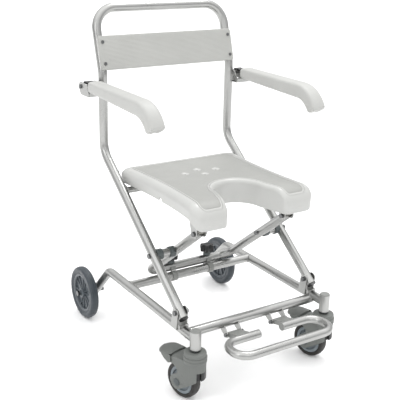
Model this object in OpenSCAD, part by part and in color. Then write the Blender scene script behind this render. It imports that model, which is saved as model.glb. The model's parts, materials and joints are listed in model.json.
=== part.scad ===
// Folding wheeled shower and commode chair with an open-front seat.
// Millimetres. Front towards -Y, +Z up, left towards -X as seen from in front.
// The origin is on the floor, under the middle of the whole chair.

/* [Frame] */
// Outer diameter of the frame tubes
tube_d = 25.4; // [24:0.2:26]
// Wall thickness of the frame tubes
tube_wall = 1.6; // [1.2:0.1:2]
// Distance between the centres of the left and right side tubes
frame_w = 422; // [420:1:440]
// Height of the base side tubes' centres
base_h = 178; // [176:1:180]
// Distance between the centres of the seat support's two arms
support_w = 284; // [276:1:290]

/* [Backrest] */
// Height of the top of the back tube's centre
back_h = 936; // [900:2:940]
// Height of the back panel
panel_h = 91; // [70:1:94]
// Thickness of the back panel
panel_t = 5; // [4:0.5:6]

/* [Seat] */
// Height of the top of the seat
seat_h = 508; // [506:1:510]
// Thickness of the seat's rim
seat_t = 41; // [38:1:41]
// Width of the seat across its front
seat_w = 396; // [380:1:400]
// Radius of the round rear end of the seat's opening
opening_r = 68; // [60:1:80]
// Width of the gap between the two front prongs
gap_w = 176; // [150:1:180]

/* [Armrests] */
// Height of the top of the arm pads
arm_h = 752; // [748:1:756]
// Width of an arm pad
pad_w = 46; // [42:1:48]
// Length of an arm pad
pad_l = 360; // [340:2:380]

/* [Footrest] */
// Outer diameter of the footrest tube
foot_d = 22; // [20:1:22]
// Half of the footrest's width between its bends' outer runs
foot_half_w = 150; // [140:1:155]
// Depth of the footrest loop between its two runs
foot_depth = 82; // [76:1:84]

/* [Wheels] */
// Diameter of a rear wheel
rear_wheel_d = 160; // [150:1:160]
// Width of a rear tyre
rear_tyre_w = 26; // [22:1:27]
// Diameter of a front caster wheel
caster_d = 100; // [96:1:100]
// Width of a caster wheel
caster_w = 28; // [24:1:30]
// Distance that a caster wheel trails behind its swivel
caster_trail = 38; // [34:1:40]
// Angle at which both casters stand when the chair is parked
caster_turn = 14; // [0:1:20]

/* [Hidden] */
$fn = 64;
gap = 0.3;          // gap between pieces of different bodies
run = 0.05;         // radial play of a pin in its bore
eps = 0.01;
inch_bolt = 8;      // diameter of the pivot bolts
bush_d = 12;        // outer diameter of the plastic bushes
tr = tube_d / 2;
side_x = frame_w / 2;
arm_x = support_w / 2;

// Points on the base, as [y, z]
post_y = -265;
post_d = 28.6;
post_top = 200;
post_bottom = 152;
axle = [310, rear_wheel_d / 2];
rear_drop = 45.7;   // slope of the base tube down to the axle
rear_corner = [axle[0] - (base_h - axle[1]) / tan(rear_drop), base_h];
rear_cross = [92, base_h + 1];
front_cross = [-211, base_h - 10];

// The scissor: leg A turns about the clevis bolt, support B about the crossing
clevis = [-190, base_h + 43];
leg_angle = atan2(3, 4);
support_angle = 38.2;
crossing = along(clevis, 175, leg_angle);
seat_pivot = along(crossing, -143, -support_angle);
support_end = along(crossing, 200.6, -support_angle);
leg_seam = along(clevis, 425, leg_angle);
back_bend = along(clevis, 535, leg_angle);
leg_tail = 20;      // length of a leg past its clevis bolt
support_tail = 14;  // length of a support arm past its seat bolt

// Backrest, as [y, z]
back_tilt = atan2(7, 24);
back_mid = [back_bend[0], 765];
back_top = [back_mid[0] + (back_h - back_mid[1]) * 7 / 24, back_h];
back_corner_r = 62;
panel_top = 861;

// Seat
seat_front = -222;
seat_rear = 187;
seat_bottom = seat_h - seat_t;
seat_skin = 9;
seat_roll = 48;     // radius of the rounded front edge
lip_bottom = seat_h - 68;
opening_y = -134;
rest_bar = [128, seat_bottom - 13];
rest_bar_d = 18;

// Armrests
arm_cx = 251.5;
arm_pivot = [260, arm_h - 23];
pad_rear = 208;
pad_front = pad_rear - pad_l;

// Footrest
foot_pin = [-236.5, base_h - 33];
foot_z = base_h - 16;
foot_rear = -297;
foot_bend = foot_depth / 2 - 3;
foot_lug_x = 74;

wheel_x = 250;
caster_r = caster_d / 2;
clip_x = 63;
clip_w = 16;

function along(p, d, a) = [p[0] + d * cos(a), p[1] + d * sin(a)];
function at(x, p) = [x, p[0], p[1]];
function unit(v) = v / norm(v);
function any_across(v) = abs(v[0]) < 0.9 ? cross(v, [1, 0, 0]) : cross(v, [0, 1, 0]);
function columns(a, b, c, o) = [
  [a[0], b[0], c[0], o[0]], [a[1], b[1], c[1], o[1]], [a[2], b[2], c[2], o[2]], [0, 0, 0, 1]];

// A round bar from point a to point b
module bar(a, b, r) {
  axis = unit(b - a);
  side = unit(any_across(axis));
  multmatrix(columns(side, cross(axis, side), axis, a)) cylinder(r = r, h = norm(b - a));
}

// A cylinder along X from x0 to x1, through the point p = [y, z]
module cross_bar(x0, x1, p, r) {
  translate([min(x0, x1), p[0], p[1]]) rotate([0, 90, 0]) cylinder(r = r, h = abs(x1 - x0));
}

// A route is a chain of go() and turn(), each drawn at the end of the last, along its own +Z.
// $r is the radius of the bar. A length may start a hair inside the bend before it, so that they join.
module go(length, lap = 0) {
  translate([0, 0, -lap]) cylinder(r = $r, h = length + lap);
  translate([0, 0, length]) children();
}

// Bends towards +X after rolling about the route
module turn(bend, angle, roll = 0) {
  far = 2 * (bend + $r);
  rotate([0, 0, roll]) translate([bend, 0, 0]) {
    difference() {
      rotate([90, 0, 180]) rotate_extrude(angle = 90) translate([bend, 0]) circle(r = $r);
      if (angle < 90) rotate([0, angle, 0]) translate([-far, -far, 0]) cube([2 * far, 2 * far, far]);
    }
    rotate([0, angle, 0]) translate([-bend, 0, 0]) rotate([0, 0, -roll]) children();
  }
}

module straight_tube(a, b, d, wall) {
  u = unit(b - a);
  difference() {
    bar(a, b, d / 2);
    bar(a - u, b + u, d / 2 - wall);
  }
}

// A pivot bolt along X with a domed head and a nut; s is the side, +1 or -1
module pivot_bolt(s, x_head, x_nut, p, d = inch_bolt) {
  cross_bar(s * x_nut, s * x_head, p, d / 2);
  cross_bar(s * x_head, s * (x_head + 4), p, d * 0.85);
  cross_bar(s * (x_nut - 6), s * x_nut, p, d * 0.8);
}

// ---------- base ----------

// Runs back from the post, then bends down to the axle
module base_route(r, extra) {
  bend = 40;
  reach = bend * tan(rear_drop / 2);
  $r = r;
  translate([0, 0, -extra])
    go(rear_corner[0] - post_y - reach + extra) turn(bend, rear_drop)
      go((base_h - axle[1]) / sin(rear_drop) - reach + 14 + extra, lap = 0.05);
}

module base_tube(s) {
  x = s * side_x;
  color("silver") difference() {
    translate([x, post_y, base_h]) rotate([-90, 0, 0]) rotate([0, 0, 90]) difference() {
      base_route(tr, 0);
      base_route(tr - tube_wall, 1);
    }
    translate([x, post_y, base_h - 50]) cylinder(d = post_d, h = 100);
    cross_bar(x - 20, x + 20, axle, 5 + run);
  }
}

module front_posts() {
  color("silver") for (s = [-1, 1]) translate([s * side_x, post_y, post_bottom]) difference() {
    cylinder(d = post_d, h = post_top - post_bottom);
    translate([0, 0, -1]) cylinder(d = 12, h = 40);
    translate([0, 0, 36]) cylinder(d = post_d - 6, h = 60);
  }
}

module coped_cross_tube(p, reach) {
  color("silver") difference() {
    straight_tube(at(-reach, p), at(reach, p), tube_d, tube_wall);
    for (s = [-1, 1]) bar(at(s * side_x, [post_y - 40, base_h]), at(s * side_x, rear_corner), tr);
  }
}

module clevises() {
  color("gainsboro") for (s = [-1, 1]) translate([s * side_x, 0, 0]) {
    difference() {
      union() {
        for (side = [-1, 1]) {
          x = side * (tr + 0.5);
          hull() {
            cross_bar(x, x + side * 2.6, clevis, 13);
            translate([side > 0 ? x : x - 2.6, clevis[0] - 7.5, base_h - 2]) cube([2.6, 27.5, 10]);
          }
        }
        translate([-tr - 0.5, clevis[0] - 20, base_h + 5]) cube([tube_d + 1, 40, 10]);
      }
      bar([0, clevis[0] - 30, base_h], [0, clevis[0] + 30, base_h], tr);
      cross_bar(-30, 30, clevis, inch_bolt / 2 + run);
    }
  }
}

// Clevis bolts of the legs, and hinge pins of the footrest
module base_bolts() {
  color("darkgray") for (s = [-1, 1]) {
    pivot_bolt(s, side_x + tr + 3.1, side_x - tr - 3.1, clevis);
    pivot_bolt(s, foot_lug_x + 24, foot_lug_x - 24, foot_pin, 6);
  }
}

module footrest_lugs() {
  color("lightgray") for (s = [-1, 1], side = [-1, 1]) {
    x = s * foot_lug_x + side * 22 - 1.5;
    difference() {
      hull() {
        cross_bar(x, x + 3, foot_pin, 7);
        translate([x, front_cross[0] - 15, front_cross[1] - 13]) cube([3, 24, 12]);
      }
      cross_bar(x - 5, x + 5, front_cross, tr);
      cross_bar(x - 5, x + 5, foot_pin, 3 + run);
    }
  }
}

module rear_axles() {
  color("darkgray") for (s = [-1, 1]) {
    cross_bar(s * (side_x - tr - 4), s * (wheel_x + 19), axle, 5);
    cross_bar(s * (wheel_x + 19), s * (wheel_x + 25), axle, 8);
    cross_bar(s * (side_x - tr - 10), s * (side_x - tr), axle, 8);
    difference() {
      cross_bar(s * (side_x + tr), s * (wheel_x - 17), axle, 8);
      cross_bar(s * (side_x + tr - 1), s * (wheel_x - 16), axle, 5 - eps);
    }
  }
}

// A clip hugs the rear cross tube and stands in front of the seat support
module clamp_clips() {
  lip = tr + 3;
  color("lightgray") for (s = [-1, 1]) translate([s * clip_x - clip_w / 2, 0, 0]) difference() {
    union() {
      cross_bar(0, clip_w, rear_cross, lip);
      cross_bar(0, clip_w, support_end, lip + gap);
    }
    cross_bar(-1, clip_w + 1, rear_cross, tr);
    cross_bar(-1, clip_w + 1, support_end, tr + gap);
    translate([-1, rear_cross[0] + 1, rear_cross[1] - 40]) cube([clip_w + 2, 60, 100]);
    translate([-1, rear_cross[0] - 40, support_end[1] + 6]) cube([clip_w + 2, 60, 60]);
  }
}

module caster_stems() {
  color("darkgray") for (s = [-1, 1]) translate([s * side_x, post_y, 0]) {
    translate([0, 0, 116]) cylinder(d = 12, h = 72);
    translate([0, 0, 146]) cylinder(d = 24, h = post_bottom - 146);
    translate([0, 0, 112]) cylinder(d = 20, h = 4);
  }
}

module base_plugs() {
  color("lightgray") for (s = [-1, 1]) {
    translate([s * side_x, post_y, post_top - 8]) cylinder(d = post_d - 6, h = 8);
    translate([s * side_x, post_y, post_top]) cylinder(d1 = post_d, d2 = post_d - 4, h = 3);
    tip = at(s * side_x, along(axle, 14, -rear_drop));
    end = at(s * side_x, along(axle, 17, -rear_drop));
    bar(at(s * side_x, along(axle, 8, -rear_drop)), tip, tr - tube_wall);
    bar(tip, end, tr);
  }
}

// ---------- leg frame with the backrest ----------

module leg(s) {
  x = s * side_x;
  color("silver") difference() {
    union() {
      straight_tube(at(x, along(clevis, -leg_tail, leg_angle)), at(x, leg_seam), tube_d, tube_wall);
      hull() {
        cross_bar(x - s * (tr + 3), x - s * (tr - 1.2), rest_bar, rest_bar_d / 2 + 2);
        cross_bar(x - s * (tr + 3), x - s * (tr - 1.2), along(rest_bar, 26, leg_angle - 20), 8);
      }
    }
    bar(at(x, along(clevis, -leg_tail - 1, leg_angle)), at(x, along(leg_seam, 1, leg_angle)), tr - tube_wall);
    cross_bar(x - 30, x + 30, clevis, bush_d / 2);
    cross_bar(x - 20, x + 20, crossing, bush_d / 2);
  }
}

module leg_plugs() {
  color("black") for (s = [-1, 1]) {
    tip = at(s * side_x, along(clevis, -leg_tail, leg_angle));
    bar(tip, at(s * side_x, along(clevis, -leg_tail + 9, leg_angle)), tr - tube_wall);
    bar(at(s * side_x, along(clevis, -leg_tail - 2.5, leg_angle)), tip, tr);
  }
}

module bush(x, p) {
  difference() {
    cross_bar(x - tr + 1.6, x + tr - 1.6, p, bush_d / 2);
    cross_bar(x - tr - 1, x + tr + 1, p, inch_bolt / 2 + run);
  }
}

module leg_bushes() {
  color("white") for (s = [-1, 1]) {
    bush(s * side_x, clevis);
    bush(s * side_x, crossing);
  }
}

// A round hub whose face is hollowed to sit on a tube
module saddle_hub(x_tube, x_face, x_end, angle) {
  difference() {
    cross_bar(x_face, x_end, crossing, 15);
    bar(at(x_tube, along(crossing, -40, angle)), at(x_tube, along(crossing, 40, angle)), tr);
    cross_bar(x_tube - 100, x_tube + 100, crossing, inch_bolt / 2 + run);
  }
}

module outer_hubs() {
  color("slategray") for (s = [-1, 1])
    saddle_hub(s * side_x, s * (side_x - 7), s * (side_x - tr - 11), leg_angle);
}

module hub_spacers() {
  x1 = side_x - tr - 11;
  x0 = arm_x + tr + 10 + gap;
  color("silver") for (s = [-1, 1]) difference() {
    cross_bar(s * x0, s * x1, crossing, 12);
    cross_bar(s * (x0 - 1), s * (x1 + 1), crossing, inch_bolt / 2 + run);
  }
}

module cross_bolts() {
  color("darkgray") for (s = [-1, 1]) pivot_bolt(s, side_x + tr, arm_x - tr - gap, crossing);
}

module seat_rest_bar() {
  x = side_x - tr - 3;
  color("silver") difference() {
    cross_bar(-x, x, rest_bar, rest_bar_d / 2);
    cross_bar(-x - 1, x + 1, rest_bar, rest_bar_d / 2 - 1.5);
  }
}

// Up one side, across the top and down the other
module back_route(r, extra) {
  low = 60;
  mid = 70;
  rise = 90 - leg_angle;
  foot = norm(back_bend - leg_seam) - low * tan(rise / 2);
  post = back_mid[1] - back_bend[1] - low * tan(rise / 2) - mid * tan(back_tilt / 2);
  lean = norm(back_top - back_mid) - mid * tan(back_tilt / 2) - back_corner_r;
  $r = r;
  translate([-side_x, leg_seam[0], leg_seam[1]]) rotate([-rise, 0, 0]) rotate([0, 0, -90]) translate([0, 0, -extra])
    go(foot + extra) turn(low, rise) go(post) turn(mid, back_tilt, 180) go(lean)
      turn(back_corner_r, 90, 90) go(frame_w - 2 * back_corner_r) turn(back_corner_r, 90, 90)
        go(lean) turn(mid, back_tilt, 180) go(post) turn(low, rise) go(foot + extra);
}

module back_tube() {
  color("gainsboro") difference() {
    back_route(tr, 0);
    back_route(tr - tube_wall, 1);
    for (s = [-1, 1]) {
      cross_bar(s * (side_x - 20), s * side_x, along(leg_seam, 32, leg_angle), 4);
      for (z = panel_screw_z()) bar(panel_screw(s, z, 0), panel_screw(s, z, 12), 2);
    }
  }
}

module back_inserts() {
  color("silver") for (s = [-1, 1]) difference() {
    straight_tube(at(s * side_x, along(leg_seam, -60, leg_angle)), at(s * side_x, along(leg_seam, 55, leg_angle)),
      tube_d - 2 * tube_wall, 1.6);
    cross_bar(s * (side_x - 20), s * side_x, along(leg_seam, 32, leg_angle), 4);
  }
}

module button(s) {
  p = along(leg_seam, 32, leg_angle);
  color("gray") {
    cross_bar(s * (side_x - 14.5), s * (side_x - 6), p, 4 - run);
    cross_bar(s * (side_x - 6), s * (side_x - 4), p, 6);
  }
}

// The panel stands on the leaning part of the back, across both tubes
back_slope = 90 - back_tilt;
function panel_screw_z() = [panel_top - 17, panel_top - panel_h + 17];
function back_y(z) = back_mid[0] + (z - back_mid[1]) * 7 / 24;
function panel_screw(s, z, deep) = at(s * (side_x - 4), [
  back_y(z) - (tr + panel_t - deep) * sin(back_slope), z + (tr + panel_t - deep) * cos(back_slope)]);

module back_panel() {
  low = [back_y(panel_top - panel_h), panel_top - panel_h];
  long = panel_h / sin(back_slope);
  front = tr + panel_t;
  color("lightgray") difference() {
    translate([0, low[0], low[1]]) rotate([back_slope - 90, 0, 0]) union() {
      hull() for (x = [-side_x - 8, side_x + 8], z = [6, long - 6])
        translate([x, 0, z]) rotate([90, 0, 0]) translate([0, 0, tr]) cylinder(r = 6, h = panel_t);
      for (s = [-1, 1]) translate([s * side_x - 10, -front + 1, 6]) cube([20, panel_t + 4, long - 12]);
    }
    for (s = [-1, 1]) {
      bar(at(s * side_x, back_mid), at(s * side_x, back_top), tr);
      for (z = panel_screw_z()) bar(panel_screw(s, z, -2), panel_screw(s, z, 16), 2);
    }
  }
}

module panel_screws() {
  color("darkgray") for (s = [-1, 1], z = panel_screw_z()) {
    bar(panel_screw(s, z, -2), panel_screw(s, z, 0), 4.5);
    bar(panel_screw(s, z, 0), panel_screw(s, z, 11), 2);
  }
}

// A channel behind each arm pad, held to the back tube by a saddle block
module arm_brackets() {
  x0 = side_x + tr;
  x1 = arm_cx + 14;
  color("silver") for (s = [-1, 1]) difference() {
    union() {
      for (x = [x0, x1]) hull() {
        cross_bar(s * x, s * (x + 2.5), arm_pivot, 13);
        cross_bar(s * x, s * (x + 2.5), [arm_pivot[0] - 2, arm_pivot[1] - 11], 9);
        cross_bar(s * x, s * (x + 2.5), [arm_pivot[0] - 44, arm_pivot[1] - 15], 7);
        cross_bar(s * x, s * (x + 2.5), [arm_pivot[0] - 30, arm_pivot[1] + 6], 6);
      }
      translate([s > 0 ? x0 : -x1 - 2.5, arm_pivot[0] - 48, arm_pivot[1] - 22]) cube([x1 + 2.5 - x0, 50, 2.5]);
      translate([s > 0 ? x0 : -x1, arm_pivot[0] - 50, arm_pivot[1] - 20]) cube([x1 - x0, 8, 9.7]);
      translate([s > 0 ? side_x : -x0, back_mid[0] - 14, arm_pivot[1] - 16]) cube([tr, 28, 26]);
    }
    bar(at(s * side_x, back_bend), at(s * side_x, [back_mid[0], arm_pivot[1] + 60]), tr);
    cross_bar(s * (x0 - 20), s * (x1 + 20), arm_pivot, inch_bolt / 2 + run);
  }
}

module arm_bolts() {
  color("darkgray") for (s = [-1, 1]) {
    x1 = arm_cx + 16.5;
    cross_bar(s * (side_x + tr - eps), s * x1, arm_pivot, inch_bolt / 2);
    cross_bar(s * x1, s * (x1 + 4), arm_pivot, 6);
    cross_bar(s * (side_x + tr - 5), s * (side_x + tr), arm_pivot, 7);
  }
}

// ---------- seat support ----------

module support_route(r, extra) {
  bend = 42;
  arm = norm(support_end - seat_pivot) + support_tail - bend;
  $r = r;
  translate([0, 0, -extra]) go(arm + extra) turn(bend, 90) go(support_w - 2 * bend) turn(bend, 90) go(arm + extra);
}

module seat_support_tube() {
  color("silver") difference() {
    translate(at(-arm_x, along(seat_pivot, -support_tail, -support_angle))) rotate([-90 - support_angle, 0, 0])
      difference() {
        support_route(tr, 0);
        support_route(tr - tube_wall, 1);
      }
    for (s = [-1, 1]) {
      cross_bar(s * arm_x - 20, s * arm_x + 20, crossing, bush_d / 2);
      cross_bar(s * arm_x - 20, s * arm_x + 20, seat_pivot, bush_d / 2);
      translate([s * clip_x, support_end[0], support_end[1] - 20]) cylinder(r = 4 + run, h = 40);
    }
  }
}

module inner_hubs() {
  color("slategray") for (s = [-1, 1])
    saddle_hub(s * arm_x, s * (arm_x + 7), s * (arm_x + tr + 10), -support_angle);
}

module support_bushes() {
  color("white") for (s = [-1, 1]) {
    bush(s * arm_x, crossing);
    bush(s * arm_x, seat_pivot);
  }
}

// A hand screw through the support's cross tube, with its collar
module knob(s) {
  top = support_end[1] + tr;
  color("black") translate([s * clip_x, support_end[0], 0]) {
    translate([0, 0, support_end[1] - tr - 1.5]) cylinder(r = 4, h = tube_d + 12);
    translate([0, 0, top + gap]) cylinder(r1 = 11, r2 = 8, h = 11);
    translate([0, 0, top + 11]) {
      cylinder(r = 17, h = 20);
      for (i = [0:5]) rotate([0, 0, i * 60]) translate([15, 0, 0]) cylinder(r = 7.5, h = 20);
    }
    translate([0, 0, top + 31]) cylinder(r1 = 17, r2 = 13, h = 3);
  }
}

// ---------- seat ----------

// The opening from above: round at the rear, wider towards the front
module opening_outline(more) {
  translate([0, opening_y]) circle(r = opening_r + more);
  polygon([
    [-opening_r - more, opening_y], [opening_r + more, opening_y],
    [gap_w / 2 + more, seat_front - 1], [-gap_w / 2 - more, seat_front - 1]]);
}

// Outline of the seat from above
module seat_outline() {
  half = seat_w / 2;
  difference() {
    hull() {
      for (s = [-1, 1]) {
        translate([s * (half - 44), seat_rear - 40]) circle(r = 40);
        translate([s * (half - 30), seat_front + 30]) circle(r = 30);
      }
    }
    for (s = [-1, 1]) translate([s * (half + 1004), -20]) circle(r = 1020, $fn = 360);
    opening_outline(0);
  }
}

// What the rounded front edge takes off, with the given radius
module front_roll(r) {
  difference() {
    translate([-seat_w, seat_front - 1, seat_h - seat_roll]) cube([2 * seat_w, seat_roll + 1, seat_roll + 1]);
    cross_bar(-seat_w, seat_w, [seat_front + seat_roll, seat_h - seat_roll], r);
  }
}

// The seat is a tray; its front and the edge of its opening reach lower, as a lip
module seat() {
  color("whitesmoke") difference() {
    union() {
      translate([0, 0, seat_bottom]) linear_extrude(seat_t) seat_outline();
      translate([0, 0, lip_bottom]) linear_extrude(seat_bottom - lip_bottom + 1) intersection() {
        seat_outline();
        union() {
          opening_outline(8);
          translate([-seat_w, seat_front]) square([2 * seat_w, seat_skin]);
        }
      }
    }
    front_roll(seat_roll);
    difference() {
      translate([0, 0, seat_bottom - 1]) linear_extrude(seat_t - seat_skin + 1)
        offset(delta = -seat_skin) seat_outline();
      front_roll(seat_roll - seat_skin);
    }
  }
}

module seat_brackets() {
  color("lightgray") for (s = [-1, 1]) translate([s * arm_x, 0, 0]) difference() {
    union() {
      for (side = [-1, 1]) {
        x = side * (tr + 0.6);
        hull() {
          cross_bar(x, x + side * 2.5, seat_pivot, 12);
          translate([side > 0 ? x : x - 2.5, seat_pivot[0] - 11, seat_h - 14]) cube([2.5, 50, 5]);
        }
      }
      translate([-tr - 3.1, seat_pivot[0] - 11, seat_h - 12]) cube([tube_d + 6.2, 50, 3]);
    }
    cross_bar(-30, 30, seat_pivot, inch_bolt / 2 + run);
  }
}

module seat_bolts() {
  color("darkgray") for (s = [-1, 1]) pivot_bolt(s, arm_x + tr + 3.1, arm_x - tr - 3.1, seat_pivot);
}

module seat_rest_pads() {
  low = rest_bar[1] + rest_bar_d / 2 + gap;
  color("dimgray") for (s = [-1, 1])
    translate([s * 120 - 20, rest_bar[0] - 14, low]) cube([40, 28, seat_h - seat_skin - low]);
}

// ---------- armrests ----------

// Side view of an arm's bar, a skin's thickness inside it: level at the pivot, deeper towards the front
module bar_profile(skin, rear) {
  high = arm_pivot[1] + 10 - skin;
  low = arm_pivot[1] - 10 + skin;
  front = pad_front + 75 - (skin > 0 ? 1 : 0);
  polygon([[front, low - 10], [pad_rear, low], [rear, low], [rear, high], [front, high]]);
}

module arm_bar(s) {
  color("silver") difference() {
    union() {
      translate([s * arm_cx - 11, 0, 0]) rotate([90, 0, 90]) linear_extrude(22) bar_profile(0, arm_pivot[0]);
      cross_bar(s * arm_cx - 11, s * arm_cx + 11, arm_pivot, 10);
    }
    translate([s * arm_cx - 9, 0, 0]) rotate([90, 0, 90]) linear_extrude(18) bar_profile(2, arm_pivot[0] - 20);
    cross_bar(s * arm_cx - 20, s * arm_cx + 20, arm_pivot, inch_bolt / 2 + run);
  }
}

// Side view of a pad: level on top, deeper towards its front end, which is turned down
module pad_profile() {
  top = arm_h;
  low = arm_h - 31;
  hull() {
    translate([pad_rear - 8, top - 8]) circle(r = 8);
    translate([pad_rear - 3, low + 3]) circle(r = 3);
    translate([pad_front + 94, top - 20.5]) circle(r = 20.5);
  }
  hull() {
    translate([pad_front + 94, top - 20.5]) circle(r = 20.5);
    translate([pad_front + 50, top - 27]) circle(r = 20);
  }
  hull() {
    translate([pad_front + 50, top - 27]) circle(r = 20);
    translate([pad_front + 19, top - 48]) circle(r = 19);
    translate([pad_front + 40, top - 56]) circle(r = 17);
  }
}

module arm_pad(s) {
  front = pad_front + 75;
  color("whitesmoke") difference() {
    translate([s * arm_cx - pad_w / 2, 0, 0]) rotate([90, 0, 90]) linear_extrude(pad_w) pad_profile();
    translate([s * arm_cx - 11, front, arm_pivot[1] - 40]) cube([22, pad_l, 50]);
  }
}

module arm_cap(s) {
  color("black") difference() {
    hull() {
      cross_bar(s * arm_cx - 11, s * arm_cx + 11, [arm_pivot[0] - 12, arm_pivot[1] + 11], 5);
      cross_bar(s * arm_cx - 11, s * arm_cx + 11, [arm_pivot[0] - 32, arm_pivot[1] + 11], 5);
    }
    translate([s * arm_cx - 12, arm_pivot[0] - 50, arm_pivot[1] - 20]) cube([24, 60, 30]);
  }
}

// ---------- footrest ----------

module footrest_route(r, extra) {
  b = foot_bend;
  run_in = foot_half_w - 38 - b;
  $r = r;
  translate([0, 0, -extra])
    go(run_in + extra) turn(b, 90) go(foot_depth - 2 * b) turn(b, 90) go(2 * (foot_half_w - b))
      turn(b, 90) go(foot_depth - 2 * b) turn(b, 90) go(run_in + extra);
}

module footrest_tube() {
  color("silver") translate([-38, foot_rear, foot_z]) rotate([0, -90, 0]) rotate([0, 0, -90]) difference() {
    footrest_route(foot_d / 2, 0);
    footrest_route(foot_d / 2 - 1.5, 1);
  }
}

// Each block reaches back from the loop to its hinge pin, between the lugs
module footrest_blocks() {
  color("lightgray") for (s = [-1, 1]) difference() {
    union() {
      hull() {
        cross_bar(s * foot_lug_x - 19, s * foot_lug_x + 19, foot_pin, 6.5);
        cross_bar(s * foot_lug_x - 19, s * foot_lug_x + 19, [foot_rear, foot_z], 6);
      }
    }
    cross_bar(s * foot_lug_x - 30, s * foot_lug_x + 30, [foot_rear, foot_z], foot_d / 2);
    cross_bar(s * foot_lug_x - 30, s * foot_lug_x + 30, foot_pin, 3 + run);
    translate([s * foot_lug_x - 30, foot_rear - 40, 0]) cube([60, 40, 400]);
  }
}

module footrest_caps() {
  color("gray") for (s = [-1, 1]) {
    cross_bar(s * 36, s * 38, [foot_rear, foot_z], foot_d / 2);
    cross_bar(s * 38, s * 46, [foot_rear, foot_z], foot_d / 2 - 1.5);
  }
}

// ---------- rear wheels ----------

// Puts a wheel that was drawn round Z onto its axle
module on_axle(x, p) {
  translate([x, p[0], p[1]]) rotate([0, 90, 0]) children();
}

module tyre(d, w, inner, shoulder) {
  rotate_extrude($fn = 96) difference() {
    hull() for (z = [-1, 1]) {
      translate([d / 2 - shoulder, z * (w / 2 - shoulder)]) circle(r = shoulder);
      translate([inner - 1, z * (w / 2 - 3)]) circle(r = 2);
    }
    translate([0, -w]) square([inner, 2 * w]);
  }
}

module rear_tyre(s) {
  color("darkslategray") on_axle(s * wheel_x, axle) tyre(rear_wheel_d, rear_tyre_w, 59, 9);
}

module rear_rim(s) {
  color("dimgray") on_axle(s * wheel_x, axle) difference() {
    union() {
      difference() {
        cylinder(r = 59, h = 20, center = true);
        cylinder(r = 51, h = 30, center = true);
      }
      cylinder(r = 15, h = 33, center = true);
      cylinder(r = 52, h = 4, center = true);
      for (i = [0:5]) rotate([0, 0, i * 60]) {
        for (lean = [-1, 1]) rotate([0, 0, lean * 10]) translate([13, -2 + lean * 2, -5]) cube([40, 4, 10]);
      }
    }
    cylinder(r = 5 + run, h = 60, center = true);
  }
}

// ---------- front casters ----------

// Everything on a caster is drawn with its swivel on Z and its wheel behind
module on_caster(s) {
  translate([s * side_x, post_y, 0]) rotate([0, 0, caster_turn]) children();
}
caster_axle = [caster_trail, caster_r];
pedal_hinge = [caster_trail + 36, 104];

module fork(s) {
  inner = caster_w / 2 + 2;
  color("gray") on_caster(s) difference() {
    union() {
      translate([0, 0, 118]) cylinder(r = 30, h = 28 - gap);
      translate([0, 0, 118]) cylinder(r = 34, h = 14);
      for (side = [-1, 1]) hull() {
        cross_bar(side * inner, side * (inner + 4.5), caster_axle, 12);
        cross_bar(side * inner, side * (inner + 4.5), [-8, 112], 20);
        cross_bar(side * inner, side * (inner + 4.5), [caster_trail + 28, 108], 14);
      }
      hull() {
        cross_bar(-inner - 4.5, inner + 4.5, [-8, 122], 10);
        cross_bar(-inner - 4.5, inner + 4.5, [caster_trail + 20, 116], 7);
      }
    }
    translate([0, 0, 100]) cylinder(r = 6 + run, h = 60);
    translate([0, 0, 100]) cylinder(r = 11, h = 16.5);
    cross_bar(-40, 40, caster_axle, 5 + run);
    cross_bar(-40, 40, pedal_hinge, 3 + run);
    cross_bar(-inner, inner, caster_axle, caster_r + 4);
  }
}

module caster_pins(s) {
  outer = caster_w / 2 + 6.5;
  color("darkgray") on_caster(s) {
    cross_bar(-outer, outer, caster_axle, 5);
    for (side = [-1, 1]) cross_bar(side * outer, side * (outer + 3), caster_axle, 9);
    cross_bar(-outer, outer, pedal_hinge, 3);
  }
}

module caster_tyre(s) {
  color("black") on_caster(s) on_axle(0, caster_axle) tyre(caster_d, caster_w, caster_r - 12, 7);
}

module caster_rim(s) {
  color("lightslategray") on_caster(s) on_axle(0, caster_axle) difference() {
    union() {
      difference() {
        cylinder(r = caster_r - 12, h = caster_w - 4, center = true);
        for (z = [-1, 1]) translate([0, 0, z * (caster_w / 2)]) cylinder(r = caster_r - 20, h = 12, center = true);
      }
      cylinder(r = 11, h = caster_w + 2, center = true);
    }
    cylinder(r = 5 + run, h = caster_w + 10, center = true);
  }
}

// The brake pedal rocks on the fork's rear pin
module pedal(s) {
  width = caster_w + 3;
  color("slategray") on_caster(s) difference() {
    union() {
      cross_bar(-width / 2, width / 2, pedal_hinge, 6);
      hull() {
        cross_bar(-width / 2, width / 2, pedal_hinge, 5);
        cross_bar(-width / 2, width / 2, [pedal_hinge[0] + 18, pedal_hinge[1] - 4], 4);
      }
      hull() {
        cross_bar(-width / 2, width / 2, [pedal_hinge[0] + 20, pedal_hinge[1] - 4], 4);
        cross_bar(-32, 32, [pedal_hinge[0] + 48, pedal_hinge[1] - 14], 4);
      }
    }
    cross_bar(-40, 40, pedal_hinge, 3 + run);
  }
}

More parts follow.
